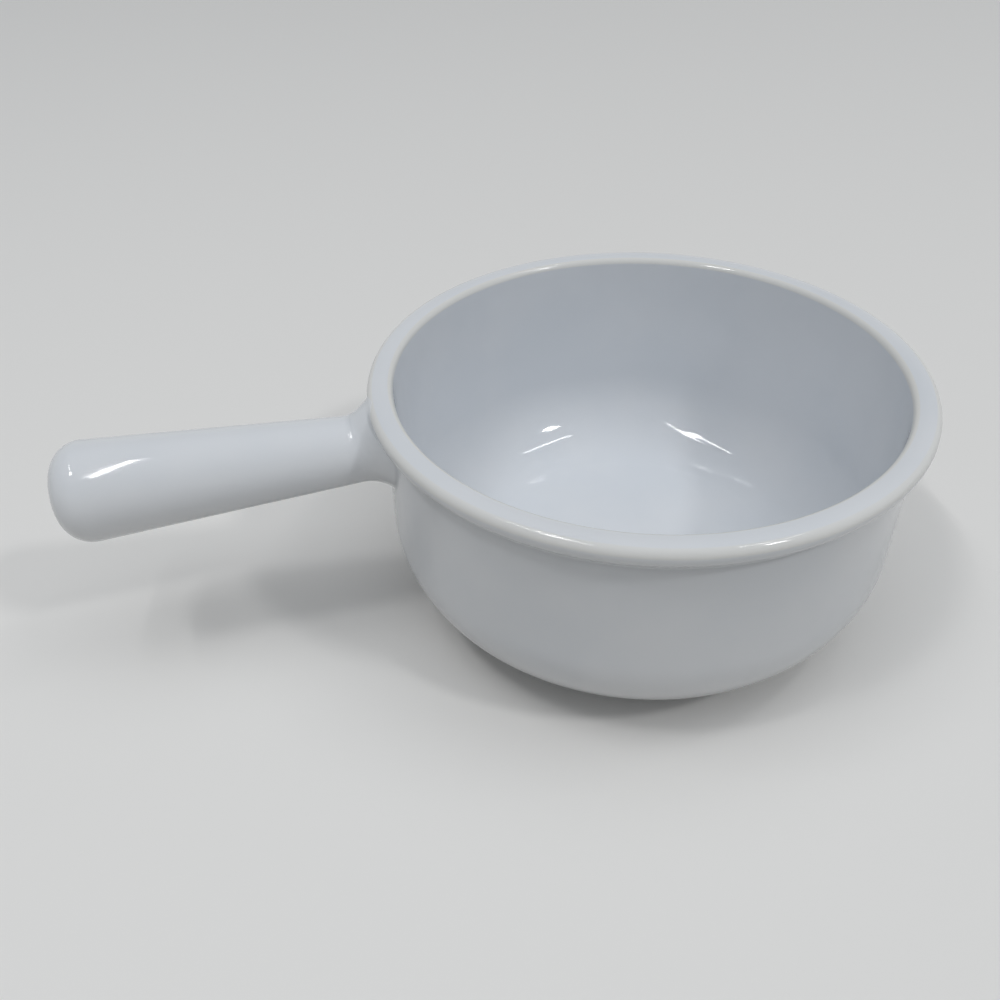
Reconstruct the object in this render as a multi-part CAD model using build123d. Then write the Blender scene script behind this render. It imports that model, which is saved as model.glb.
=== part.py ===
from build123d import *

import math
import os

# A soup bowl for one portion, with a stick handle, in glazed stoneware.
# Lengths are in millimetres and angles in degrees. +Z is up, the origin is on the
# bowl's axis in the plane of its foot, and the handle points along -X.
# Clay sizes are the fired clay's, and the glaze coats lie over them.

# Bowl
RIM_DIAMETER = 129.2
BOWL_HEIGHT = 63.6
RIM_PROJECTION = 3.4
RIM_BAND = 3.0
RIM_UNDERCUT = 3.4
RIM_TOP_ROUND = 1.5
RIM_LOWER_ROUND = 3.0
RIM_HOLLOW_ROUND = 2.0
MOUTH_ROUND = 1.2
WALL_THICKNESS = 1.8
INNER_DRAFT = 2.5
BELLY_RADIUS = 24.6
FLOOR_THICKNESS = 4.4

# Foot ring
FOOT_DIAMETER = 75.0
FOOT_HEIGHT = 3.9
FOOT_WIDTH = 4.6
FOOT_EDGE_ROUND = 0.8
FOOT_ROOT_ROUND = 1.2

# Handle
HANDLE_LENGTH = 74.1
HANDLE_ROOT_DIAMETER = 13.9
HANDLE_END_DIAMETER = 23.2
HANDLE_END_ROUND = 6.6
HANDLE_END_CROWN = 0.6
HANDLE_WALL = 4.0
HANDLE_DROP = 11.9
HANDLE_DROOP = 2.0
COLLAR_DIAMETER = 23.2
COLLAR_ANGLE = 37.0
COLLAR_RISE = 2.0
COLLAR_ROUND = 5.0
VENT_DIAMETER = 2.4
VENT_DISTANCE = 18.0

# Joint and coats
SLIP_THICKNESS = 0.5
GLAZE_THICKNESS = 0.4
GLAZE_LINE = 1.6

# Worked out from the sizes above
rim_radius = RIM_DIAMETER / 2
wall_radius = rim_radius - RIM_PROJECTION
mouth_radius = wall_radius - WALL_THICKNESS
foot_radius = FOOT_DIAMETER / 2
recess_radius = foot_radius - FOOT_WIDTH
rim_turn = math.atan2(RIM_PROJECTION, RIM_UNDERCUT)
rim_top_round = min(RIM_TOP_ROUND, RIM_BAND / 2)
rim_lower_round = min(RIM_LOWER_ROUND, RIM_BAND / 2 / math.tan(rim_turn / 2))
rim_edge = BOWL_HEIGHT - RIM_BAND
rim_foot = rim_edge - RIM_UNDERCUT
rim_widest = BOWL_HEIGHT - rim_top_round
floor_height = FOOT_HEIGHT + FLOOR_THICKNESS
inner_corner = mouth_radius - (BOWL_HEIGHT - floor_height) * math.tan(math.radians(INNER_DRAFT))
handle_root = -RIM_PROJECTION - WALL_THICKNESS
overrun = COLLAR_DIAMETER


def rounded(face, corner, radius):
    """Round the corner of a face that lies nearest to a point."""
    nearest = min(face.vertices(), key=lambda vertex: (Vector(vertex) - Vector(*corner)).length)
    return fillet(nearest, radius)


def outline(*points):
    """Closed face in the plane of radius and height."""
    return Polygon(*points, align=None)


def block(inner, low, outer, high):
    """Rectangle between two radii and two heights."""
    return outline((inner, low), (outer, low), (outer, high), (inner, high))


def turned(face):
    """Solid turned on the bowl's axis from a face of radius and height."""
    return revolve(Plane.XZ * face, Axis.Z)


def outer_face():
    """Half section of the bowl's outside, filled to the axis."""
    face = outline(
        (0, FOOT_HEIGHT),
        (wall_radius, FOOT_HEIGHT),
        (wall_radius, rim_foot),
        (rim_radius, rim_edge),
        (rim_radius, BOWL_HEIGHT),
        (0, BOWL_HEIGHT),
    )
    face = rounded(face, (rim_radius, BOWL_HEIGHT), rim_top_round)
    face = rounded(face, (rim_radius, rim_edge), rim_lower_round)
    face = rounded(face, (wall_radius, rim_foot), RIM_HOLLOW_ROUND)
    face = rounded(face, (wall_radius, FOOT_HEIGHT), BELLY_RADIUS)
    return face + block(0, 0, foot_radius, floor_height)


def cavity_face():
    """Half section of the space inside the bowl."""
    face = outline(
        (0, floor_height),
        (inner_corner, floor_height),
        (mouth_radius, BOWL_HEIGHT),
        (mouth_radius, BOWL_HEIGHT + overrun),
        (0, BOWL_HEIGHT + overrun),
    )
    return rounded(face, (inner_corner, floor_height), BELLY_RADIUS - FLOOR_THICKNESS)


def clay_face():
    """Half section of the bowl's clay wall."""
    face = outer_face() - cavity_face() - block(0, 0, recess_radius, FOOT_HEIGHT)
    past_flat = max(0, foot_radius - (wall_radius - BELLY_RADIUS))
    foot_root = FOOT_HEIGHT + BELLY_RADIUS - math.sqrt(BELLY_RADIUS ** 2 - past_flat ** 2)
    face = rounded(face, (mouth_radius, BOWL_HEIGHT), MOUTH_ROUND)
    face = rounded(face, (foot_radius, foot_root), FOOT_ROOT_ROUND)
    face = rounded(face, (recess_radius, FOOT_HEIGHT), FOOT_ROOT_ROUND)
    face = rounded(face, (foot_radius, 0), FOOT_EDGE_ROUND)
    return rounded(face, (recess_radius, 0), FOOT_EDGE_ROUND)


def inside_face():
    """Half section of all that lies inside the middle of the clay wall."""
    middle_of_floor = FOOT_HEIGHT + FLOOR_THICKNESS / 2
    low = ((inner_corner + wall_radius) / 2, middle_of_floor)
    face = outline(
        (0, middle_of_floor),
        low,
        ((mouth_radius + wall_radius) / 2, rim_foot),
        ((mouth_radius + rim_radius) / 2, rim_widest),
        ((mouth_radius + rim_radius) / 2, BOWL_HEIGHT + overrun),
        (0, BOWL_HEIGHT + overrun),
    )
    return rounded(face, low, BELLY_RADIUS - FLOOR_THICKNESS / 2)


def coat_faces(clay):
    """Half sections of the liner, outer and base glaze over a clay section."""
    middle_of_foot = foot_radius - FOOT_WIDTH / 2
    coat = offset(clay, GLAZE_THICKNESS) - clay
    beyond_foot = block(middle_of_foot, GLAZE_LINE, rim_radius + overrun, BOWL_HEIGHT + overrun)
    within_foot = block(0, GLAZE_LINE, middle_of_foot, FOOT_HEIGHT + FLOOR_THICKNESS / 2)
    liner = coat & inside_face()
    outer = (coat & beyond_foot) - inside_face()
    base = coat & within_foot
    return liner, outer, base


def seat(grown):
    """Outside of the bowl, filled and grown, with the rim carried up as a cylinder."""
    reach = rim_radius + grown
    top = BOWL_HEIGHT + overrun
    body = outer_face() if grown == 0 else offset(outer_face(), grown)
    filled = body + block(0, rim_widest, reach, top)
    return turned(filled & block(0, -grown, reach, top))


def placed(solid):
    """Carry a solid from the handle's own axis, +X from the wall, to its place on the bowl."""
    on_wall = Pos(-wall_radius, 0, BOWL_HEIGHT - HANDLE_DROP)
    return on_wall * Rot(0, 0, 180) * Rot(0, HANDLE_DROOP, 0) * solid


def stick_radius(distance):
    """Radius of the clay stick at a distance out from the wall."""
    share = distance / HANDLE_LENGTH
    return HANDLE_ROOT_DIAMETER / 2 * (1 - share) + HANDLE_END_DIAMETER / 2 * share


def stick(skin):
    """Tapered round stick with a crowned end, grown by a skin, or shrunk by a negative one."""
    end = HANDLE_LENGTH + skin
    shoulder = (end - HANDLE_END_CROWN, stick_radius(HANDLE_LENGTH) + skin)
    crown_radius = (shoulder[1] ** 2 + HANDLE_END_CROWN ** 2) / (2 * HANDLE_END_CROWN)
    root_edge = (handle_root, stick_radius(handle_root) + skin)
    lines = Polyline((end, 0), (handle_root, 0), root_edge, shoulder)
    crown = RadiusArc(shoulder, (end, 0), crown_radius)
    face = rounded(make_face(lines + crown), shoulder, HANDLE_END_ROUND + skin)
    return revolve(face, Axis.X)


def handle_blank(skin):
    """Stick and flared collar in one, grown by a skin, before the saddle is cut."""
    slope = math.tan(math.radians(COLLAR_ANGLE))
    spread = skin / math.cos(math.radians(COLLAR_ANGLE))
    tip_radius = HANDLE_ROOT_DIAMETER / 4
    base_radius = COLLAR_DIAMETER / 2 - handle_root * slope
    length = (base_radius - tip_radius) / slope
    collar = Cone(base_radius + spread, tip_radius + spread, length)
    collar = Pos(handle_root + length / 2, 0, COLLAR_RISE) * Rot(0, 90, 0) * collar
    blank = stick(skin) + collar
    creases = [
        edge
        for edge in blank.edges()
        if edge.geom_type != GeomType.LINE and 0 < edge.center().X < HANDLE_LENGTH / 2
    ]
    return placed(fillet(creases, COLLAR_ROUND - skin))


clay = clay_face()
liner_face, outer_coat_face, base_face = coat_faces(clay)
blank = handle_blank(0)
bore = placed(stick(-HANDLE_WALL))
vent_drill = Cylinder(VENT_DIAMETER / 2, HANDLE_END_DIAMETER)
vent = placed(Pos(VENT_DISTANCE, 0, -HANDLE_END_DIAMETER / 2) * vent_drill)
bowl_outside = seat(0)
slip_outside = seat(SLIP_THICKNESS)

parts = {
    "bowl_body": turned(clay),
    "stick_handle": blank - slip_outside - bore - vent,
    "luting_slip": (blank & slip_outside) - bowl_outside - bore,
    "liner_glaze": turned(liner_face),
    "outer_glaze": turned(outer_coat_face) - blank,
    "handle_glaze": handle_blank(GLAZE_THICKNESS) - blank - seat(GLAZE_THICKNESS) - vent,
    "base_glaze": turned(base_face),
}

os.makedirs("parts", exist_ok=True)
for name, shape in parts.items():
    export_step(shape, f"parts/{name}.step")
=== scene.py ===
"""A glazed stoneware soup bowl with a stick handle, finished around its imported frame.

Lengths are in metres, in the frame's own axes: +Z is up from the plane that the foot rests on,
and the handle points along -X.
"""

import logging
import math
from collections.abc import Callable, Iterable
from dataclasses import dataclass, field
from enum import Enum

import bmesh
import bpy
import numpy as np
from mathutils import Matrix, Vector


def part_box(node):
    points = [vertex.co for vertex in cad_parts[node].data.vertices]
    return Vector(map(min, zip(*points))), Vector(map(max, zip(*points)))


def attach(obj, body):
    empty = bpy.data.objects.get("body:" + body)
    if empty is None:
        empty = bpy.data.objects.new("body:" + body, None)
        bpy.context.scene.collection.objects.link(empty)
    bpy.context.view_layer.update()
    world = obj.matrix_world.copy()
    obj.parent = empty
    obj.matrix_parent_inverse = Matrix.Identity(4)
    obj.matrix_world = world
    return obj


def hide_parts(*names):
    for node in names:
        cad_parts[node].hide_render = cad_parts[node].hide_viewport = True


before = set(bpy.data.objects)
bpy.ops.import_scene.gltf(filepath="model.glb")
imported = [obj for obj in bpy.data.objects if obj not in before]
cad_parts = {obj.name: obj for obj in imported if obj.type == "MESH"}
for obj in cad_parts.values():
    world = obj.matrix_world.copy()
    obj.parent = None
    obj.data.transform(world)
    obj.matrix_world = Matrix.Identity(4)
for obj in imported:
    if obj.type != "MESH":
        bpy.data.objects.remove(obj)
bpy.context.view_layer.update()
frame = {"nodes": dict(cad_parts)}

MM = 0.001
GLAZE_DEPTH = 0.4 * MM
LIP_TURN = 80.0
LIP_STEP = 20.0
WELD_GAP = 0.002 * MM
EDGE_ATTRIBUTE = "edge"
EDGE_REACH = 3 * MM

Colour = tuple[float, float, float, float]
Point = tuple[float, float]
Range = tuple[float, float]
Distance = Callable[[np.ndarray], np.ndarray]

log = logging.getLogger("soup_bowl")


class Body(Enum):
    """Bodies of the frame that a piece can ride on."""

    ROOT = "root"


class Slot(Enum):
    """Material slots of the record."""

    STONEWARE = "stoneware"
    SLIP = "slip"
    WHITE_GLAZE = "white_glaze"


class Node(Enum):
    """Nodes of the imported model."""

    BOWL_BODY = "bowl_body"
    STICK_HANDLE = "stick_handle"
    LUTING_SLIP = "luting_slip"
    LINER_GLAZE = "liner_glaze"
    OUTER_GLAZE = "outer_glaze"
    HANDLE_GLAZE = "handle_glaze"
    BASE_GLAZE = "base_glaze"


def srgb(red: int, green: int, blue: int) -> Colour:
    """Turn a colour as seen on a screen into the shader's own numbers.

    Args:
        red: Red from 0 to 255.
        green: Green from 0 to 255.
        blue: Blue from 0 to 255.

    Returns:
        The linear colour, opaque.
    """
    def linear(level: int) -> float:
        """Linear value of one channel."""
        share = level / 255
        return share / 12.92 if share <= 0.04045 else ((share + 0.055) / 1.055) ** 2.4

    return linear(red), linear(green), linear(blue), 1.0


class Value:
    """An output of a shader node, which takes part in Python expressions as a number."""

    def __init__(self, recipe: "Recipe", socket: bpy.types.NodeSocket) -> None:
        """Keep the socket and the recipe that it belongs to."""
        self.recipe = recipe
        self.socket = socket

    def _math(self, operation: str, first: object, second: object) -> "Value":
        """Add one Math node on two numbers."""
        return self.recipe.node("ShaderNodeMath", {"operation": operation}, {0: first, 1: second})

    def __add__(self, other: object) -> "Value":
        """Sum."""
        return self._math("ADD", self, other)

    def __radd__(self, other: object) -> "Value":
        """Sum with a plain number in front."""
        return self._math("ADD", other, self)

    def __sub__(self, other: object) -> "Value":
        """Difference."""
        return self._math("SUBTRACT", self, other)

    def __rsub__(self, other: object) -> "Value":
        """Difference with a plain number in front."""
        return self._math("SUBTRACT", other, self)

    def __mul__(self, other: object) -> "Value":
        """Product."""
        return self._math("MULTIPLY", self, other)

    def __rmul__(self, other: object) -> "Value":
        """Product with a plain number in front."""
        return self._math("MULTIPLY", other, self)

    def other(self, output: str) -> "Value":
        """Another output of the same node."""
        return Value(self.recipe, self.socket.node.outputs[output])

    def between(self, low: float, high: float) -> "Value":
        """Smooth step.

        Args:
            low: Value at which the step leaves 0.
            high: Value at which it reaches 1.

        Returns:
            The step's height.
        """
        return self.recipe.node(
            "ShaderNodeMapRange",
            {"interpolation_type": "SMOOTHSTEP"},
            {"Value": self, "From Min": low, "From Max": high, "To Min": 0.0, "To Max": 1.0},
        )


class Recipe:
    """The nodes of one finish, or of the light in the room, written down step by step."""

    def __init__(self, owner: bpy.types.Material | bpy.types.World) -> None:
        """Start with the owner's nodes cleared.

        Args:
            owner: Material or room that the nodes belong to.
        """
        owner.use_nodes = True
        self.tree = owner.node_tree
        self.tree.nodes.clear()

    def node(
        self,
        kind: str,
        settings: dict[str, object] | None = None,
        sockets: dict[str | int, object] | None = None,
        output: str | int = 0,
    ) -> Value | None:
        """Add one node.

        Args:
            kind: Type of the node.
            settings: Properties, set before the sockets.
            sockets: Numbers, colours or links for the inputs.
            output: Output that is handed back.

        Returns:
            The chosen output, or nothing from a node that has none.
        """
        made = self.tree.nodes.new(kind)
        for name, setting in (settings or {}).items():
            setattr(made, name, setting)
        for name, given in (sockets or {}).items():
            if isinstance(given, Value):
                self.tree.links.new(given.socket, made.inputs[name])
            else:
                made.inputs[name].default_value = given
        return Value(self, made.outputs[output]) if made.outputs else None

    def place(self) -> Value:
        """Point on the piece, in the frame's axes."""
        return self.node("ShaderNodeTexCoord", output="Object")

    def height(self, place: Value) -> Value:
        """Height of a point above the plane of the foot."""
        return self.node("ShaderNodeSeparateXYZ", sockets={"Vector": place}, output="Z")

    def attribute(self, name: str) -> Value:
        """Number stored on the mesh's points."""
        return self.node("ShaderNodeAttribute", {"attribute_name": name}, output="Fac")

    def noise(self, place: Value, size: float, detail: float = 2.0) -> Value:
        """Soft cloudy pattern from 0 to 1.

        Args:
            place: Point on the piece.
            size: Width of the larger clouds.
            detail: How many finer layers lie on them.

        Returns:
            The pattern's value.
        """
        return self.node(
            "ShaderNodeTexNoise",
            sockets={"Vector": place, "Scale": 1 / size, "Detail": detail},
        )

    def specks(self, place: Value, spacing: float, radius: float, share: float) -> Value:
        """Scattered round specks, 1 in their middles and 0 between them.

        Args:
            place: Point on the piece.
            spacing: Width of a cell that may hold one speck.
            radius: Radius of a speck.
            share: Share of the cells that hold one.

        Returns:
            The specks' mask.
        """
        sockets = {"Vector": place, "Scale": 1 / spacing}
        distance = self.node("ShaderNodeTexVoronoi", sockets=sockets, output="Distance")
        cell = distance.other("Color")
        lot = self.node("ShaderNodeSeparateColor", sockets={"Color": cell}, output="Red")
        edge = radius / spacing
        core_share = 0.4
        doubt = 0.02
        held = 1.0 - lot.between(share, share + doubt)
        return (1.0 - distance.between(core_share * edge, edge)) * held

    def blend(self, factor: Value, under: object, over: object) -> Value:
        """Mix two colours.

        Args:
            factor: Share of the second colour.
            under: First colour.
            over: Second colour.

        Returns:
            The mixed colour.
        """
        return self.node("ShaderNodeMix", {"data_type": "RGBA"}, {0: factor, 6: under, 7: over}, 2)

    def sight(self) -> Value:
        """Number that is 1 where the camera looks, directly or by way of gloss, and else 0."""
        camera = self.node("ShaderNodeLightPath", output="Is Camera Ray")
        return camera + camera.other("Is Glossy Ray") + camera.other("Is Transmission Ray")

    def relief(self, height: Value, depth: float) -> Value:
        """Normal of a surface with a fine relief, depth high for each unit of height."""
        sockets = {"Height": height, "Strength": 1.0, "Distance": depth}
        return self.node("ShaderNodeBump", sockets=sockets)

    def surface(self, **sockets: object) -> None:
        """Close a finish with one shader.

        Args:
            **sockets: Inputs of the shader, with underscores for the spaces in their names.
        """
        inputs = {name.replace("_", " "): given for name, given in sockets.items()}
        shader = self.node("ShaderNodeBsdfPrincipled", sockets=inputs)
        self.node("ShaderNodeOutputMaterial", sockets={"Surface": shader})


@dataclass(frozen=True)
class WhiteGlaze:
    """Cool white gloss glaze: creamy where it runs thin on an edge, greyer where it pools."""

    name: str = "white_glaze"
    colour: Colour = srgb(223, 226, 230)
    cloud: Colour = srgb(218, 222, 227)
    thin: Colour = srgb(225, 224, 219)
    pooled: Colour = srgb(208, 212, 217)
    speck: Colour = srgb(176, 164, 146)
    speck_spacing: float = 13 * MM
    speck_radius: float = 0.22 * MM
    speck_share: float = 0.16
    speck_strength: float = 0.35
    pinhole_spacing: float = 9 * MM
    pinhole_radius: float = 0.16 * MM
    pinhole_share: float = 0.1
    pinhole_sink: float = 1.2
    cloud_size: float = 34 * MM
    cloud_range: Range = (0.35, 0.7)
    thin_range: Range = (0.45, 0.95)
    thin_least: float = 0.55
    pooled_range: Range = (0.02, 0.5)
    ripple_size: float = 11 * MM
    ripple_depth: float = 0.035 * MM
    peel_size: float = 1.6 * MM
    peel_share: float = 0.045
    pimple: tuple[float, float, float] = (-15.7 * MM, 55.5 * MM, 49.3 * MM)
    pimple_radius: float = 0.9 * MM
    pimple_rise: float = 4.0
    gloss: float = 0.05
    film: float = 0.04
    film_size: float = 21 * MM
    film_range: Range = (0.42, 0.72)
    ior: float = 1.52

    def material(self) -> bpy.types.Material:
        """Mix the glaze.

        Returns:
            The finished material.
        """
        finish = bpy.data.materials.new(self.name)
        recipe = Recipe(finish)
        place = recipe.place()
        edge = recipe.attribute(EDGE_ATTRIBUTE)
        clouds = recipe.noise(place, self.cloud_size, detail=3.0)
        specks = recipe.specks(place, self.speck_spacing, self.speck_radius, self.speck_share)
        pinholes = recipe.specks(place, self.pinhole_spacing, self.pinhole_radius, self.pinhole_share)

        colour = recipe.blend(clouds.between(*self.cloud_range), self.colour, self.cloud)
        worn = self.thin_least + (1 - self.thin_least) * clouds
        colour = recipe.blend(edge.between(*self.thin_range) * worn, colour, self.thin)
        colour = recipe.blend((0.0 - edge).between(*self.pooled_range), colour, self.pooled)
        colour = recipe.blend(specks * self.speck_strength, colour, self.speck)

        distance = recipe.node(
            "ShaderNodeVectorMath", {"operation": "DISTANCE"}, {0: place, 1: self.pimple}, "Value"
        )
        pimple = 1.0 - distance.between(0.0, self.pimple_radius)
        ripple = recipe.noise(place, self.ripple_size, detail=1.0)
        peel = recipe.noise(place, self.peel_size, detail=1.0)
        rise = pimple * self.pimple_rise - pinholes * self.pinhole_sink
        relief = ripple + peel * self.peel_share + rise

        film = recipe.noise(place, self.film_size, detail=4.0)
        recipe.surface(
            Base_Color=colour,
            Roughness=self.gloss + film.between(*self.film_range) * self.film,
            IOR=self.ior,
            Normal=recipe.relief(relief, self.ripple_depth),
        )
        return finish


@dataclass(frozen=True)
class FiredClay:
    """Bare fired clay: matt, sandy, with fine dark specks, and a warm flush below the glaze."""

    name: str
    colour: Colour
    mottle: Colour
    grit: Colour = srgb(138, 118, 94)
    grit_spacing: float = 1.5 * MM
    grit_radius: float = 0.17 * MM
    grit_share: float = 0.35
    grit_strength: float = 0.75
    grit_sink: float = 0.4
    flush: Colour = srgb(206, 176, 138)
    flush_strength: float = 0.6
    flush_height: float = 1.6 * MM
    flush_reach: float = 0.9 * MM
    mottle_size: float = 5 * MM
    mottle_range: Range = (0.3, 0.7)
    grain_size: float = 0.28 * MM
    grain_depth: float = 0.05 * MM
    roughness: float = 0.82
    grain_roughness: float = 0.14
    ior: float = 1.45

    def material(self) -> bpy.types.Material:
        """Mix the clay.

        Returns:
            The finished material.
        """
        finish = bpy.data.materials.new(self.name)
        recipe = Recipe(finish)
        place = recipe.place()
        grain = recipe.noise(place, self.grain_size, detail=4.0)
        mottle = recipe.noise(place, self.mottle_size, detail=3.0)
        grit = recipe.specks(place, self.grit_spacing, self.grit_radius, self.grit_share)
        height = recipe.height(place)
        below = height.between(self.flush_height - self.flush_reach, self.flush_height)

        colour = recipe.blend(mottle.between(*self.mottle_range), self.colour, self.mottle)
        colour = recipe.blend(below * self.flush_strength * mottle, colour, self.flush)
        colour = recipe.blend(grit * self.grit_strength, colour, self.grit)
        recipe.surface(
            Base_Color=colour,
            Roughness=self.roughness + grain * self.grain_roughness,
            IOR=self.ior,
            Normal=recipe.relief(grain - grit * self.grit_sink, self.grain_depth),
        )
        return finish


class Template:
    """A turner's template: a half section in the XZ plane, drawn stroke by stroke and then turned.

    Its points are pairs of a radius from the axis and a place along it.
    """

    def __init__(self, start: Point) -> None:
        """Begin a drawing.

        Args:
            start: Point that the drawing starts from.
        """
        self.mesh = bmesh.new()
        self.tip = self.mesh.verts.new((start[0], 0.0, start[1]))
        self.drawn = [self.tip]

    def line(self, end: Point, step: float) -> "Template":
        """Draw a straight stroke.

        Args:
            end: Point where the stroke ends.
            step: Length of one piece of it, about.

        Returns:
            The template itself.
        """
        way = Vector((end[0], 0.0, end[1])) - self.tip.co
        count = max(1, round(way.length / step))
        for _ in range(count):
            grown = bmesh.ops.extrude_vert_indiv(self.mesh, verts=[self.tip])
            self.tip = grown["verts"][0]
            bmesh.ops.translate(self.mesh, verts=[self.tip], vec=way / count)
            self.drawn.append(self.tip)
        return self

    def arc(self, centre: Point, turn: float, step: float) -> "Template":
        """Draw a round stroke about a centre.

        Args:
            centre: Centre of the round.
            turn: Angle in degrees, positive from the radius towards the axis's direction.
            step: Angle of one piece of it, about.

        Returns:
            The template itself.
        """
        count = max(1, round(abs(turn) / step))
        for _ in range(count):
            grown = bmesh.ops.extrude_vert_indiv(self.mesh, verts=[self.tip])
            self.tip = grown["verts"][0]
            bmesh.ops.rotate(
                self.mesh,
                verts=[self.tip],
                cent=(centre[0], 0.0, centre[1]),
                matrix=Matrix.Rotation(math.radians(-turn / count), 3, "Y"),
            )
            self.drawn.append(self.tip)
        return self

    def points(self) -> np.ndarray:
        """Points drawn so far, one row each."""
        return np.array([(vertex.co.x, vertex.co.z) for vertex in self.drawn])

    def turned(self, steps: int, facing: Vector) -> bmesh.types.BMesh:
        """Turn the section once round the axis.

        Args:
            steps: Columns of faces round the axis.
            facing: Direction that the face at the start has to look in.

        Returns:
            The turned skin.
        """
        mesh = self.mesh
        bmesh.ops.spin(
            mesh,
            geom=mesh.verts[:] + mesh.edges[:],
            cent=(0, 0, 0),
            axis=(0, 0, 1),
            angle=math.tau,
            steps=steps,
            use_merge=True,
        )
        bmesh.ops.remove_doubles(mesh, verts=mesh.verts, dist=WELD_GAP)
        bmesh.ops.recalc_face_normals(mesh, faces=mesh.faces)
        mesh.verts.ensure_lookup_table()
        pole = min(mesh.verts, key=lambda vertex: vertex.co.xy.length)
        if pole.link_faces[0].normal.dot(facing) < 0:
            bmesh.ops.reverse_faces(mesh, faces=mesh.faces)
        return mesh


class Skin:
    """A coat's visible surface, ready to become a piece of the object."""

    def __init__(self, name: str, mesh: bmesh.types.BMesh) -> None:
        """Keep the piece's name and its mesh."""
        self.name = name
        self.mesh = mesh

    def mark_edges(self, passes: int) -> None:
        """Store how sharply the surface bends: above 0 on an edge, below 0 in a hollow.

        Args:
            passes: How often the marks are spread over their neighbours.
        """
        layer = self.mesh.verts.layers.float.new(EDGE_ATTRIBUTE)
        self.mesh.normal_update()
        for vertex in self.mesh.verts:
            bends = []
            for link in vertex.link_edges:
                way = vertex.co - link.other_vert(vertex).co
                bends.append(2 * vertex.normal.dot(way) / way.length_squared)
            vertex[layer] = max(-1.0, min(1.0, EDGE_REACH * sum(bends) / len(bends)))
        for _ in range(passes):
            spread = {}
            for vertex in self.mesh.verts:
                near = [link.other_vert(vertex)[layer] for link in vertex.link_edges]
                spread[vertex] = (vertex[layer] + sum(near) / len(near)) / 2
            for vertex, mark in spread.items():
                vertex[layer] = mark

    def piece(self, finish: bpy.types.Material, nodes: Iterable[Node]) -> bpy.types.Object:
        """Give the skin its depth and finish and set it on the frame.

        Args:
            finish: Material of the piece.
            nodes: Nodes of the frame that the piece stands for.

        Returns:
            The finished piece.
        """
        for face in self.mesh.faces:
            face.smooth = True
        data = bpy.data.meshes.new(self.name)
        self.mesh.to_mesh(data)
        self.mesh.free()
        data.materials.append(finish)
        made = bpy.data.objects.new(self.name, data)
        bpy.context.scene.collection.objects.link(made)
        coat = made.modifiers.new("coat", "SOLIDIFY")
        coat.thickness = GLAZE_DEPTH
        coat.offset = -1.0
        coat.use_even_offset = True
        coat.use_rim = True
        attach(made, Body.ROOT.value)
        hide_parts(*(node.value for node in nodes))
        return made


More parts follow.
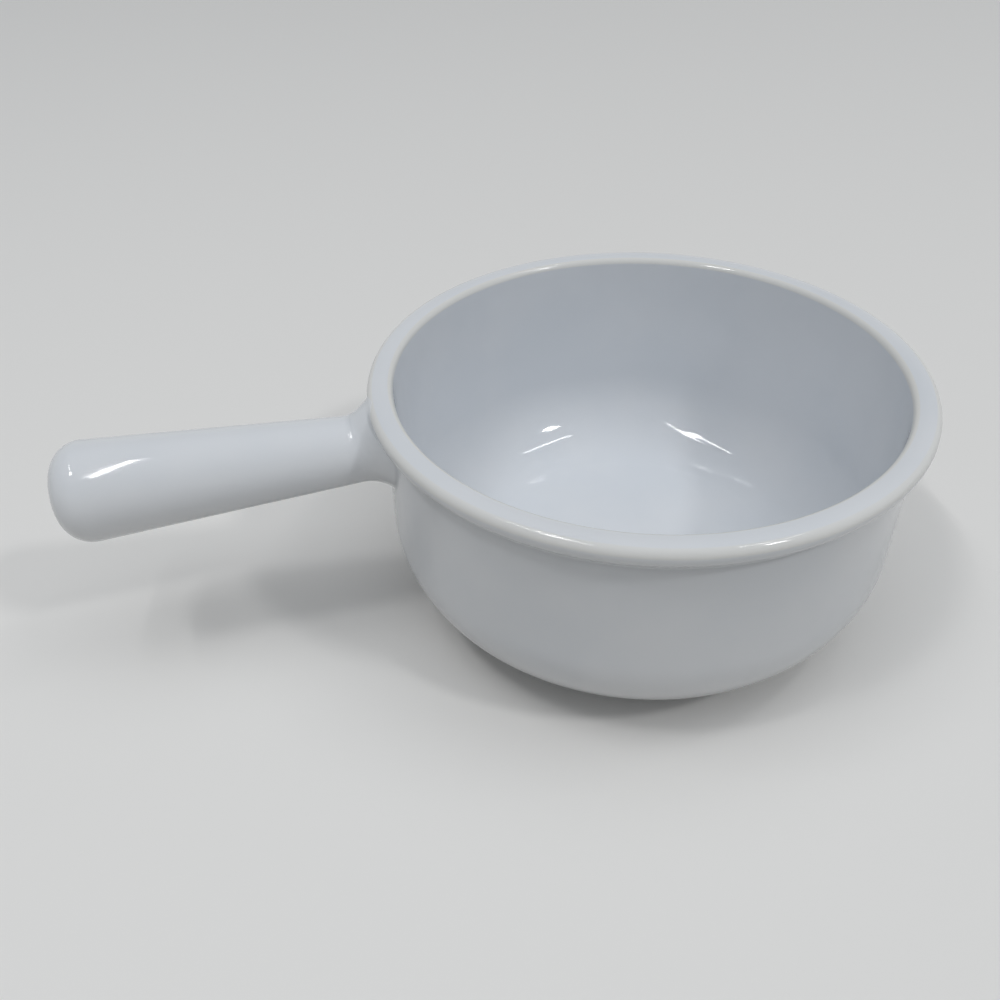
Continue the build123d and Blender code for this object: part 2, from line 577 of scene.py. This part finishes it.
@dataclass
class BowlCoat:
    """The glaze over the inside, the rim and the outside of the bowl, down to the foot."""

    rim_radius: float = field(default_factory=lambda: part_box(Node.OUTER_GLAZE.value)[1].x)
    height: float = field(default_factory=lambda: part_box(Node.OUTER_GLAZE.value)[1].z)
    glaze_line: float = field(default_factory=lambda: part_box(Node.OUTER_GLAZE.value)[0].z)
    clay_floor: float = field(default_factory=lambda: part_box(Node.LINER_GLAZE.value)[0].z)
    rim_projection: float = 3.4 * MM
    rim_round: float = 1.9 * MM
    crown_round: float = 7.5 * MM
    mouth_round: float = 1.6 * MM
    bead_round: float = 3.4 * MM
    bead_drop: float = 3.566 * MM
    hollow_round: float = 1.6 * MM
    underside: float = 45.0
    wall_thickness: float = 2.6 * MM
    inner_draft: float = 2.5
    belly_round: float = 25.0 * MM
    well_round: float = 19.8 * MM
    belly_height: float = 28.5 * MM
    foot_radius: float = 37.9 * MM
    foot_round: float = 0.8 * MM
    columns: int = 216
    fine: float = 1.5 * MM
    arc_step: float = 6.0
    seat_step: float = 1.0

    def __post_init__(self) -> None:
        """Work out the radii of the wall and the rounds that make the rim's top."""
        draft = math.radians(self.inner_draft)
        self.wall_radius = self.rim_radius - self.rim_projection
        self.mouth_radius = self.wall_radius - self.wall_thickness
        mouth_aside = self.mouth_round * (1 / math.cos(draft) - math.tan(draft))
        mouth_place = self.mouth_radius + mouth_aside
        edge_place = self.rim_radius - self.rim_round
        middle = (mouth_place + edge_place) / 2
        self.crown = (middle, self.height - self.crown_round)
        self.mouth, self.mouth_tilt = self.under_crown(mouth_place, self.mouth_round)
        self.edge, self.edge_tilt = self.under_crown(edge_place, self.rim_round)

    def under_crown(self, place: float, size: float) -> tuple[Point, float]:
        """Set a round against the crown from below.

        Args:
            place: Radius at which its centre lies.
            size: Radius of the round.

        Returns:
            Its centre, and how far from upright it meets the crown, in degrees.
        """
        aside = abs(place - self.crown[0])
        reach = self.crown_round - size
        centre = (place, self.crown[1] + math.sqrt(reach ** 2 - aside ** 2))
        return centre, math.degrees(math.asin(aside / reach))

    def inside(self) -> Template:
        """Draw the inside of the coat, from the middle of the floor to the rim's top.

        Returns:
            The started template.
        """
        draft = math.radians(self.inner_draft)
        floor_height = self.clay_floor + GLAZE_DEPTH
        well_height = floor_height + self.well_round
        well_mouth = self.mouth_radius - (self.height - well_height) * math.tan(draft)
        well_radius = well_mouth - self.well_round / math.cos(draft)
        wall_end = (
            self.mouth[0] - self.mouth_round * math.cos(draft),
            self.mouth[1] + self.mouth_round * math.sin(draft),
        )
        drawing = Template((0.0, floor_height))
        drawing.line((well_radius, floor_height), 2 * self.fine)
        drawing.arc((well_radius, well_height), 90 - self.inner_draft, self.arc_step / 2)
        drawing.line(wall_end, self.fine)
        drawing.arc(self.mouth, self.inner_draft + self.mouth_tilt - 90, self.arc_step)
        return drawing.arc(self.crown, -self.mouth_tilt - self.edge_tilt, self.arc_step / 2)

    def rim(self, drawing: Template, step: float) -> Template:
        """Draw the rolled rim's outer side, from its top to the wall below it.

        Args:
            drawing: Template that has reached the end of the crown.
            step: Angle of one piece of an arc.

        Returns:
            The template itself.
        """
        slope = math.radians(self.underside)
        bead_edge = self.height - self.bead_drop
        bead_tangent = self.bead_round * math.tan(slope / 2)
        bead = (self.rim_radius - self.bead_round, bead_edge + bead_tangent)
        hollow_tangent = self.hollow_round * math.tan(slope / 2)
        hollow_edge = bead_edge - self.rim_projection / math.tan(slope)
        hollow = (self.wall_radius + self.hollow_round, hollow_edge - hollow_tangent)
        bead_end = (
            self.wall_radius + hollow_tangent * math.sin(slope),
            hollow_edge + hollow_tangent * math.cos(slope),
        )
        drawing.arc(self.edge, self.edge_tilt - 90, step)
        drawing.line((self.rim_radius, bead[1]), self.fine)
        drawing.arc(bead, -self.underside, step)
        drawing.line(bead_end, self.fine)
        return drawing.arc(hollow, self.underside, step)

    def section(self) -> Template:
        """Draw the whole coat, from the middle of the floor to the glaze's edge on the foot.

        Returns:
            The finished template.
        """
        belly = (self.wall_radius - self.belly_round, self.belly_height)
        root_radius = self.foot_radius + self.foot_round
        across = root_radius - belly[0]
        down = math.sqrt((self.belly_round + self.foot_round) ** 2 - across ** 2)
        sweep = math.degrees(math.atan2(down, across))
        lip = (self.foot_radius - GLAZE_DEPTH, self.glaze_line + GLAZE_DEPTH)
        drawing = self.rim(self.inside(), self.arc_step)
        drawing.line((self.wall_radius, self.belly_height), self.fine)
        drawing.arc(belly, -sweep, self.arc_step / 2)
        drawing.arc((root_radius, self.belly_height - down), sweep, 3 * self.arc_step)
        drawing.line((self.foot_radius, lip[1]), self.fine)
        return drawing.arc(lip, -LIP_TURN, LIP_STEP)

    def outside(self) -> np.ndarray:
        """Draw the rim and the wall, which the handle's collar meets, in fine strokes.

        Returns:
            Their points from the top down, one row each.
        """
        drawing = Template((self.crown[0], self.height))
        drawing.arc(self.crown, -self.edge_tilt, self.seat_step)
        self.rim(drawing, self.seat_step)
        return drawing.line((self.wall_radius, self.belly_height), self.fine).points()

    def build(self, finish: bpy.types.Material) -> bpy.types.Object:
        """Turn the coat and set it on the frame.

        Args:
            finish: Material of the glaze.

        Returns:
            The finished piece.
        """
        skin = Skin("bowl_coat", self.section().turned(self.columns, Vector((0, 0, 1))))
        skin.mark_edges(passes=2)
        return skin.piece(finish, (Node.LINER_GLAZE, Node.OUTER_GLAZE))


@dataclass
class BaseCoat:
    """The glaze under the floor, inside the foot ring."""

    recess_height: float = 3.5 * MM
    radius: float = 32.5 * MM
    corner_round: float = 0.8 * MM
    glaze_line: float = field(default_factory=lambda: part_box(Node.BASE_GLAZE.value)[0].z)
    columns: int = 144
    floor_step: float = 2 * MM
    corner_step: float = 15.0
    side_step: float = 0.5 * MM

    def build(self, finish: bpy.types.Material) -> bpy.types.Object:
        """Turn the coat and set it on the frame.

        Args:
            finish: Material of the glaze.

        Returns:
            The finished piece.
        """
        corner = (self.radius - self.corner_round, self.recess_height - self.corner_round)
        lip = (self.radius + GLAZE_DEPTH, self.glaze_line + GLAZE_DEPTH)
        drawing = Template((0.0, self.recess_height))
        drawing.line((corner[0], self.recess_height), self.floor_step)
        drawing.arc(corner, -90, self.corner_step)
        drawing.line((self.radius, lip[1]), self.side_step)
        drawing.arc(lip, LIP_TURN, LIP_STEP)
        skin = Skin("base_coat", drawing.turned(self.columns, Vector((0, 0, -1))))
        skin.mark_edges(passes=1)
        return skin.piece(finish, (Node.BASE_GLAZE,))


def smooth_union(
    first: np.ndarray, second: np.ndarray, width: float | np.ndarray
) -> np.ndarray:
    """Distance to two shapes in one, with the corner between them filled softly.

    Args:
        first: Distances to the first shape.
        second: Distances to the second shape.
        width: How far from the corner the filling reaches.

    Returns:
        Distances to the filled union.
    """
    near = np.clip(width - np.abs(first - second), 0.0, None) / width
    return np.minimum(first, second) - near ** 2 * width / 4


@dataclass
class HandleCoat:
    """The glaze over the stick handle and its flared collar, run out on the bowl's wall."""

    bowl: BowlCoat
    drop: float = 12.3 * MM
    droop: float = 2.0
    length: float = 74.5 * MM
    end_radius: float = 12.0 * MM
    taper: float = 0.0629
    end_round: float = 7.0 * MM
    end_crown: float = 0.6 * MM
    collar_radius: float = 11.95 * MM
    collar_angle: float = 37.0
    collar_rise: float = 1.85 * MM
    crease_above: float = 1.0 * MM
    crease_below: float = 2.4 * MM
    joint_width: float = 0.55 * MM
    joint_reach: float = 0.75 * MM
    joint_tuck: float = 0.06 * MM
    vent_radius: float = 1.15 * MM
    vent_distance: float = 18.0 * MM
    vent_margin: float = 3.0 * MM
    # Reach of the opening and of the search for its edge, in vent radii
    vent_patch: float = 1.5
    vent_search: float = 3.0
    vent_turn: int = 30
    vent_shoulder: float = 0.35 * MM
    vent_depth: float = 0.6 * MM
    plain_end: float = 15.5 * MM
    crease_search: Range = (10 * MM, 0.0)
    contact_search: Range = (9 * MM, -6 * MM)
    search_tries: int = 600
    settle_passes: int = 8
    crowding: float = 1.6
    columns: int = 160
    crown_rings: int = 6
    end_step: float = 5.0
    stick_step: float = 2.0 * MM
    vent_step: float = 0.5 * MM
    stick_rings: int = 13
    collar_rings: int = 13
    joint_rings: int = 5

    def __post_init__(self) -> None:
        """Set the handle's own axes: up, sideways, and out from the wall along the stick."""
        tilt = math.radians(self.droop)
        clay_wall = self.bowl.wall_radius - GLAZE_DEPTH
        self.root = Vector((-clay_wall, 0.0, self.bowl.height - self.drop))
        self.out = Vector((-math.cos(tilt), 0.0, -math.sin(tilt)))
        self.up = Vector((-math.sin(tilt), 0.0, math.cos(tilt)))
        self.side = self.out.cross(self.up)
        self.seat_points = self.bowl.outside()
        angles = np.arange(self.columns) * math.tau / self.columns
        self.spokes = np.stack([np.cos(angles), np.sin(angles)], axis=1)

    def stick_radius(self, along: float | np.ndarray) -> float | np.ndarray:
        """Radius of the glazed stick at a distance from the wall."""
        return self.end_radius + self.taper * (along - (self.length - self.end_crown))

    def stick(self) -> bmesh.types.BMesh:
        """Turn the stick, from the middle of its crowned end to where the collar begins.

        Returns:
            The stick's skin on its own axis.
        """
        crown_radius = (self.end_radius ** 2 + self.end_crown ** 2) / (2 * self.end_crown)
        crown_centre = self.length - crown_radius
        lean = math.atan(self.taper)
        # The end's round touches the stick's side and the crown from within. How far along its
        # centre lies solves a quadratic with the coefficients a, 2b and c.
        base = self.stick_radius(0.0) - self.end_round / math.cos(lean)
        reach = crown_radius - self.end_round
        a = 1 + self.taper ** 2
        b = base * self.taper - crown_centre
        c = crown_centre ** 2 + base ** 2 - reach ** 2
        along = (-b + math.sqrt(b ** 2 - a * c)) / a
        round_centre = (base + self.taper * along, along)
        crown_turn = math.degrees(math.atan2(round_centre[0], along - crown_centre))
        drawing = Template((0.0, self.length))
        drawing.arc((0.0, crown_centre), -crown_turn, crown_turn / self.crown_rings)
        drawing.arc(round_centre, crown_turn - 90 - math.degrees(lean), self.end_step)
        vent_zone = self.vent_distance + self.vent_margin
        drawing.line((self.stick_radius(vent_zone), vent_zone), self.stick_step)
        drawing.line((self.stick_radius(self.plain_end), self.plain_end), self.vent_step)
        return drawing.turned(self.columns, Vector((0, 0, 1)))

    def to_row(self, local: np.ndarray) -> np.ndarray:
        """Carry points from the handle's own axes to the frame's."""
        axes = np.array([self.up, self.side, self.out])
        return local @ axes + np.array(self.root)

    def seat_distance(self, local: np.ndarray) -> np.ndarray:
        """Distance of points from the bowl's outside, below 0 within it.

        Args:
            local: Points in the handle's own axes.

        Returns:
            Their distances.
        """
        row = self.to_row(local)
        flat = np.stack([np.hypot(row[:, 0], row[:, 1]), row[:, 2]], axis=1)
        start = self.seat_points[:-1]
        way = self.seat_points[1:] - start
        offset = flat[:, None, :] - start[None]
        share = np.clip((offset * way).sum(2) / (way ** 2).sum(1), 0.0, 1.0)
        gap = offset - share[..., None] * way
        length = np.hypot(gap[..., 0], gap[..., 1])
        nearest = length.argmin(axis=1)
        pick = np.arange(len(flat))
        aside = way[nearest, 1] * gap[pick, nearest, 0] - way[nearest, 0] * gap[pick, nearest, 1]
        return -np.sign(aside) * length[pick, nearest]

    def collar_radius_at(self, along: np.ndarray) -> np.ndarray:
        """Radius of the collar's cone at a distance from the wall."""
        return self.collar_radius - along * math.tan(math.radians(self.collar_angle))

    def handle_distance(self, local: np.ndarray) -> np.ndarray:
        """Distance of points from the stick and collar, with their crease filled.

        Args:
            local: Points in the handle's own axes.

        Returns:
            Their distances.
        """
        x, y, along = local.T
        stick = (np.hypot(x, y) - self.stick_radius(along)) * math.cos(math.atan(self.taper))
        cone = np.hypot(x - self.collar_rise, y) - self.collar_radius_at(along)
        cone = cone * math.cos(math.radians(self.collar_angle))
        upward = np.clip(x / np.hypot(x, y), 0.0, None) ** 2
        width = self.crease_below + (self.crease_above - self.crease_below) * upward
        return smooth_union(stick, cone, width)

    def whole_distance(self, local: np.ndarray) -> np.ndarray:
        """Distance of points from handle and bowl in one, with the joint filled."""
        handle = self.handle_distance(local)
        return smooth_union(handle, self.seat_distance(local), self.joint_width)

    def slope(self, distance: Distance, local: np.ndarray) -> np.ndarray:
        """Direction in which a distance grows fastest.

        Args:
            distance: Function of points.
            local: Points in the handle's own axes.

        Returns:
            One unit vector for each point.
        """
        nudge = 0.01 * MM
        columns = [
            distance(local + nudge * axis) - distance(local - nudge * axis)
            for axis in np.eye(3)
        ]
        grown = np.stack(columns, axis=1)
        return grown / np.linalg.norm(grown, axis=1, keepdims=True)

    def settled(self, distance: Distance, local: np.ndarray) -> np.ndarray:
        """Move points straight on to a surface.

        Args:
            distance: Function that is 0 on the surface.
            local: Points near the surface.

        Returns:
            Points on the surface.
        """
        for _ in range(self.settle_passes):
            local = local - self.slope(distance, local) * distance(local)[:, None]
        return local

    def on_collar(self, along: np.ndarray) -> np.ndarray:
        """Points on the collar's cone, one on each spoke.

        Args:
            along: Distance from the wall of each point.

        Returns:
            The points in the handle's own axes.
        """
        lift = self.collar_rise * self.spokes[:, 0]
        aside = self.collar_rise * self.spokes[:, 1]
        out = lift + np.sqrt(self.collar_radius_at(along) ** 2 - aside ** 2)
        return np.column_stack([out[:, None] * self.spokes, along])

    def on_stick(self, along: np.ndarray) -> np.ndarray:
        """Points on the plain stick, one on each spoke, at distances from the wall."""
        return np.column_stack([self.stick_radius(along)[:, None] * self.spokes, along])

    def first_crossing(self, test: Distance, high: float, low: float) -> np.ndarray:
        """Find where a test first turns negative on the way in to the wall.

        Args:
            test: Function of the distances from the wall, one for each spoke.
            high: Distance to start from.
            low: Distance to end at.

        Returns:
            The distance of the crossing on each spoke.
        """
        tries = np.linspace(high, low, self.search_tries)
        values = np.array([test(np.full(self.columns, along)) for along in tries])
        after = np.argmax(values < 0, axis=0)
        pick = np.arange(self.columns)
        before_value = values[after - 1, pick]
        share = before_value / (before_value - values[after, pick])
        return tries[after - 1] + share * (tries[after] - tries[after - 1])

    def rings(self) -> list[np.ndarray]:
        """Work out the rings of the collar, from the stick over the crease to the bowl's wall.

        Returns:
            One array of points for each ring, in the handle's own axes.
        """
        def clear_of_collar(along: np.ndarray) -> np.ndarray:
            """Above 0 while the stick is outside the collar."""
            stick, collar = self.on_stick(along), self.on_collar(along)
            return np.linalg.norm(stick[:, :2], axis=1) - np.linalg.norm(collar[:, :2], axis=1)

        def clear_of_seat(along: np.ndarray) -> np.ndarray:
            """Above 0 while the collar is outside the bowl."""
            return self.seat_distance(self.on_collar(along))

        crease = self.first_crossing(clear_of_collar, *self.crease_search)
        contact = self.first_crossing(clear_of_seat, *self.contact_search)
        rings = []
        for step in range(1, self.stick_rings + 1):
            share = 1 - (1 - step / (self.stick_rings + 1)) ** self.crowding
            rings.append(self.on_stick(self.plain_end + share * (crease - self.plain_end)))
        for step in range(self.collar_rings + 1):
            share = step / self.collar_rings
            rings.append(self.on_collar(crease + share * (contact - crease)))
        walk = rings[-1]
        stride = self.joint_reach / self.joint_rings
        spokes = np.column_stack([self.spokes, np.zeros(self.columns)])
        for _ in range(self.joint_rings):
            normal = self.slope(self.seat_distance, walk)
            way = spokes - (spokes * normal).sum(1, keepdims=True) * normal
            way = way / np.linalg.norm(way, axis=1, keepdims=True)
            walk = self.settled(self.seat_distance, walk + way * stride)
            rings.append(walk)
        rings = [self.settled(self.whole_distance, ring) for ring in rings]
        sunk = self.settled(self.seat_distance, rings[-1] + spokes * stride)
        rings.append(sunk - self.joint_tuck * self.slope(self.seat_distance, sunk))
        return rings

    def add_collar(self, mesh: bmesh.types.BMesh) -> None:
        """Carry the stick's open end over the collar to the bowl's wall.

        Args:
            mesh: Skin of the stick, on its own axis.
        """
        spoke = mesh.verts.layers.int.new("spoke")
        rim = [edge for edge in mesh.edges if edge.is_boundary]
        for vertex in {vertex for edge in rim for vertex in edge.verts}:
            turn = math.atan2(vertex.co.y, vertex.co.x) % math.tau
            vertex[spoke] = round(turn / math.tau * self.columns) % self.columns
        for ring in self.rings():
            grown = bmesh.ops.extrude_edge_only(mesh, edges=rim)["geom"]
            rim = [item for item in grown if isinstance(item, bmesh.types.BMEdge)]
            for vertex in (item for item in grown if isinstance(item, bmesh.types.BMVert)):
                vertex.co = ring[vertex[spoke]]
        mesh.verts.layers.int.remove(spoke)

    def add_vent(self, mesh: bmesh.types.BMesh) -> None:
        """Open the vent hole under the stick and round its edge.

        Args:
            mesh: Skin of the handle, on its own axis.
        """
        def flat(point: Vector) -> Vector:
            """Place of a point of the skin on a plan of the hole."""
            return Vector((point.y, point.z - self.vent_distance))

        patch = [
            face
            for face in mesh.faces
            if face.calc_center_median().x < 0
            and max(map(abs, flat(face.calc_center_median()))) < self.vent_patch * self.vent_radius
        ]
        bmesh.ops.delete(mesh, geom=patch, context="FACES")
        rim = [
            edge
            for edge in mesh.edges
            if edge.is_boundary and flat(edge.verts[0].co).length < self.vent_search * self.vent_radius
        ]
        strokes = [(angle, 0.0) for angle in range(0, 91, self.vent_turn)]
        strokes.append((90, self.vent_depth))
        for angle, depth in strokes:
            grown = bmesh.ops.extrude_edge_only(mesh, edges=rim)["geom"]
            rim = [item for item in grown if isinstance(item, bmesh.types.BMEdge)]
            spread = self.vent_radius + self.vent_shoulder * (1 - math.sin(math.radians(angle)))
            sink = self.vent_shoulder * (1 - math.cos(math.radians(angle))) + depth
            for vertex in (item for item in grown if isinstance(item, bmesh.types.BMVert)):
                plan = flat(vertex.co).normalized() * spread
                along = self.vent_distance + plan.y
                below = math.sqrt(self.stick_radius(along) ** 2 - plan.x ** 2)
                vertex.co = (sink - below, plan.x, along)

    def build(self, finish: bpy.types.Material) -> bpy.types.Object:
        """Make the handle's coat and set it on the frame.

        Args:
            finish: Material of the glaze.

        Returns:
            The finished piece.
        """
        mesh = self.stick()
        self.add_collar(mesh)
        self.add_vent(mesh)
        bmesh.ops.recalc_face_normals(mesh, faces=mesh.faces)
        axes = Matrix((self.up, self.side, self.out)).transposed().to_4x4()
        bmesh.ops.transform(mesh, verts=mesh.verts, matrix=Matrix.Translation(self.root) @ axes)
        skin = Skin("handle_coat", mesh)
        skin.mark_edges(passes=2)
        return skin.piece(finish, (Node.HANDLE_GLAZE,))


@dataclass
class ClayPieces:
    """The fired pieces under the glaze, which keep the frame's own shapes."""

    stoneware: FiredClay = FiredClay("stoneware", srgb(222, 213, 197), srgb(211, 200, 181))
    slip: FiredClay = FiredClay("slip", srgb(226, 219, 206), srgb(217, 208, 193), roughness=0.74)

    def dress(self, nodes: dict[str, bpy.types.Object]) -> list[bpy.types.Object]:
        """Give the clay pieces their finishes.

        Args:
            nodes: Objects of the frame by name.

        Returns:
            The dressed objects.
        """
        stoneware = self.stoneware.material()
        slip = self.slip.material()
        dressed = []
        for node, finish, slot in (
            (Node.BOWL_BODY, stoneware, Slot.STONEWARE),
            (Node.STICK_HANDLE, stoneware, Slot.STONEWARE),
            (Node.LUTING_SLIP, slip, Slot.SLIP),
        ):
            piece = nodes[node.value]
            piece.data.materials.clear()
            piece.data.materials.append(finish)
            dressed.append(piece)
        return dressed


@dataclass(frozen=True)
class Lamp:
    """A small lamp overhead, which draws a streak or a spot on the gloss."""

    name: str
    start: Point
    end: Point
    width: float
    power: float
    height: float = 2.0

    def hang(self) -> None:
        """Hang the lamp between its two ends, facing down."""
        way = Vector(self.end) - Vector(self.start)
        middle = (Vector(self.start) + Vector(self.end)) / 2
        light = bpy.data.lights.new(self.name, "AREA")
        light.shape = "RECTANGLE"
        light.size = self.width
        light.size_y = way.length
        light.energy = self.power
        hung = bpy.data.objects.new(self.name, light)
        hung.location = (middle.x, middle.y, self.height)
        hung.rotation_euler.z = math.atan2(-way.x, way.y)
        bpy.context.scene.collection.objects.link(hung)


@dataclass
class Studio:
    """The floor, the light and the camera round the object."""

    floor_colour: Colour = srgb(236, 235, 233)
    floor_shade: Colour = srgb(233, 232, 230)
    floor_bounce: Colour = srgb(196, 193, 188)
    floor_width: float = 3.0
    floor_cloud: float = 0.9
    floor_roughness: float = 0.9
    floor_gloss: float = 0.1
    backdrop: Colour = srgb(206, 206, 204)
    ceiling: Colour = srgb(128, 131, 136)
    ceiling_rise: Range = (0.1, 0.7)
    sky: Colour = (0.94, 0.97, 1.0, 1.0)
    sky_centre: tuple[float, float, float] = (0.1, -0.15, 0.98)
    sky_spread: float = 38.0
    sky_overhead: float = 1.44
    sky_level: float = 0.27
    lamps: tuple[Lamp, ...] = (
        Lamp("left_tube", (-0.237, -0.297), (-0.201, 0.007), 0.005, 0.27, 0.6),
        Lamp("left_bar", (-0.95, -0.3), (-1.0, 0.3), 0.04, 1.9),
        Lamp("left_lamp", (-0.96, -0.54), (-0.86, -0.3), 0.26, 4.5),
        Lamp("right_bar", (0.675, -0.52), (1.24, 0.0), 0.05, 2.4),
        Lamp("right_lamp", (1.18, -1.41), (1.28, -1.17), 0.26, 12.5),
    )
    eye: tuple[float, float, float] = (-68.53 * MM, -187.11 * MM, 181.06 * MM)
    turn: float = 10.04
    pitch: float = 38.37
    roll: float = -1.55
    focal: float = 974.0
    picture: float = 1000.0
    sensor: float = 36.0
    near_limit: float = 0.01

    def lay_floor(self) -> None:
        """Lay the plain pale floor."""
        finish = bpy.data.materials.new("studio_floor")
        recipe = Recipe(finish)
        tone = recipe.noise(recipe.place(), self.floor_cloud, detail=1.0)
        pale = recipe.blend(tone, self.floor_colour, self.floor_shade)
        recipe.surface(
            Base_Color=recipe.blend(recipe.sight(), self.floor_bounce, pale),
            Roughness=self.floor_roughness,
            Specular_IOR_Level=self.floor_gloss,
        )
        mesh = bmesh.new()
        bmesh.ops.create_grid(mesh, x_segments=1, y_segments=1, size=self.floor_width / 2)
        data = bpy.data.meshes.new("floor")
        mesh.to_mesh(data)
        mesh.free()
        data.materials.append(finish)
        floor = bpy.data.objects.new("floor", data)
        bpy.context.scene.collection.objects.link(floor)

    def light(self) -> None:
        """Hang the lamps and fill the room with soft light that comes mostly from overhead."""
        for lamp in self.lamps:
            lamp.hang()
        world = bpy.data.worlds.new("room")
        bpy.context.scene.world = world
        recipe = Recipe(world)
        centre = Vector(self.sky_centre).normalized()
        way = recipe.node("ShaderNodeTexCoord", output="Generated")
        facing = recipe.node(
            "ShaderNodeVectorMath", {"operation": "DOT_PRODUCT"}, {0: way, 1: centre}, "Value"
        )
        overhead = facing.between(math.cos(math.radians(self.sky_spread)), 1.0)
        level = self.sky_level + overhead * (self.sky_overhead - self.sky_level)
        sky = recipe.node("ShaderNodeBackground", sockets={"Color": self.sky, "Strength": level})
        rise = recipe.height(way).between(*self.ceiling_rise)
        wall = recipe.blend(rise, self.backdrop, self.ceiling)
        seen = recipe.node("ShaderNodeBackground", sockets={"Color": wall, "Strength": 1.0})
        room = recipe.node("ShaderNodeMixShader", sockets={0: recipe.sight(), 1: sky, 2: seen})
        recipe.node("ShaderNodeOutputWorld", sockets={"Surface": room})

    def set_camera(self) -> None:
        """Stand the camera at the photograph's viewing angle."""
        turn, pitch, roll = map(math.radians, (self.turn, self.pitch, self.roll))
        ahead = Vector((
            math.sin(turn) * math.cos(pitch),
            math.cos(turn) * math.cos(pitch),
            -math.sin(pitch),
        ))
        level = Vector((math.cos(turn), -math.sin(turn), 0.0))
        over = level.cross(ahead)
        right = math.cos(roll) * level + math.sin(roll) * over
        above = math.cos(roll) * over - math.sin(roll) * level
        data = bpy.data.cameras.new("camera")
        data.sensor_fit = "HORIZONTAL"
        data.sensor_width = self.sensor
        data.lens = self.sensor * self.focal / self.picture
        data.clip_start = self.near_limit
        camera = bpy.data.objects.new("camera", data)
        turned = Matrix((right, above, -ahead)).transposed().to_4x4()
        camera.matrix_world = Matrix.Translation(Vector(self.eye)) @ turned
        bpy.context.scene.collection.objects.link(camera)
        bpy.context.scene.camera = camera

    def build(self) -> None:
        """Set up the whole studio."""
        self.lay_floor()
        self.light()
        self.set_camera()
        bpy.context.scene.view_settings.view_transform = "Standard"


def main() -> None:
    """Build every piece in order, then the studio round them."""
    logging.basicConfig(level=logging.INFO, format="%(message)s")
    glaze = WhiteGlaze().material()
    bowl = BowlCoat()
    for coat in (bowl, BaseCoat(), HandleCoat(bowl)):
        piece = coat.build(glaze)
        log.info("%s: %d faces", piece.name, len(piece.data.polygons))
    for piece in ClayPieces().dress(frame["nodes"]):
        log.info("%s: dressed", piece.name)
    Studio().build()


if __name__ == "__main__":
    main()
